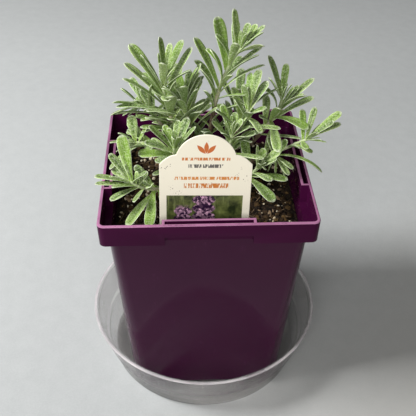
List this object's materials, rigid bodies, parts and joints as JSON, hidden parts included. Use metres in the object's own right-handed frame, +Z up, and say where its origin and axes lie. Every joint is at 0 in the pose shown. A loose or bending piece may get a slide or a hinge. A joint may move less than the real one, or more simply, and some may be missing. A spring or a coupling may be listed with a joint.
{
  "type": "potted lavender",
  "caption": "Young lavender plant with felted grey-green leaves in a square tapered plastic pot with a plain plant tag, standing in a clear round saucer.",
  "frame": {"origin": "centre of the saucer's underside, on the floor", "axes": "+Z up, -Y towards the pot's front, where the plant tag stands, +X to the right seen from the front"},
  "size_m": [0.1541, 0.1516, 0.2353],
  "materials": {
    "clear_plastic": "gloss",
    "purple_plastic": "satin",
    "potting_mix": "matte",
    "tag_plastic": "satin",
    "woody_stem": "matte",
    "leaf": "matte"
  },
  "bodies": {
    "root": {"leaf_back_left_1": "leaf", "leaf_back_left_3": "leaf", "leaf_back_left_4": "leaf", "leaf_back_left_5": "leaf", "leaf_back_right_1": "leaf", "leaf_back_right_2": "leaf", "leaf_back_right_4": "leaf", "leaf_back_right_6": "leaf", "leaf_centre_back_1": "leaf", "leaf_centre_back_2": "leaf", "leaf_left_back_1": "leaf", "leaf_left_back_11": "leaf", "leaf_left_back_12": "leaf", "leaf_left_back_13": "leaf", "leaf_left_back_14": "leaf", "leaf_left_back_15": "leaf", "leaf_left_back_2": "leaf", "leaf_left_back_7": "leaf", "leaf_left_back_8": "leaf", "leaf_left_centre_1": "leaf", "leaf_left_centre_6": "leaf", "leaf_left_front_1": "leaf", "leaf_left_front_10": "leaf", "leaf_left_front_11": "leaf", "leaf_left_front_3": "leaf", "leaf_right_back_1": "leaf", "leaf_right_back_10": "leaf", "leaf_right_back_7": "leaf", "leaf_right_back_8": "leaf", "leaf_right_back_9": "leaf", "leaf_right_front_4": "leaf", "leaf_right_front_6": "leaf", "leaf_right_front_7": "leaf", "leaf_right_low_1": "leaf", "leaf_tall_11": "leaf", "leaf_tall_13": "leaf", "leaf_tall_14": "leaf", "leaf_tall_15": "leaf", "leaf_tall_17": "leaf", "leaf_tall_3": "leaf", "plant_tag": "tag_plastic", "pot": "purple_plastic", "potting_mix": "potting_mix", "saucer": "clear_plastic", "shoot_back_left": "leaf", "shoot_back_right": "leaf", "shoot_centre": "leaf", "shoot_centre_back": "leaf", "shoot_far_left": "leaf", "shoot_far_right": "leaf", "shoot_left_back": "leaf", "shoot_left_centre": "leaf", "shoot_left_front": "leaf", "shoot_left_low": "leaf", "shoot_middle_back": "leaf", "shoot_right_back": "leaf", "shoot_right_front": "leaf", "shoot_right_low": "leaf", "shoot_tall": "leaf", "woody_crown": "woody_stem"}
  },
  "joints": []
}
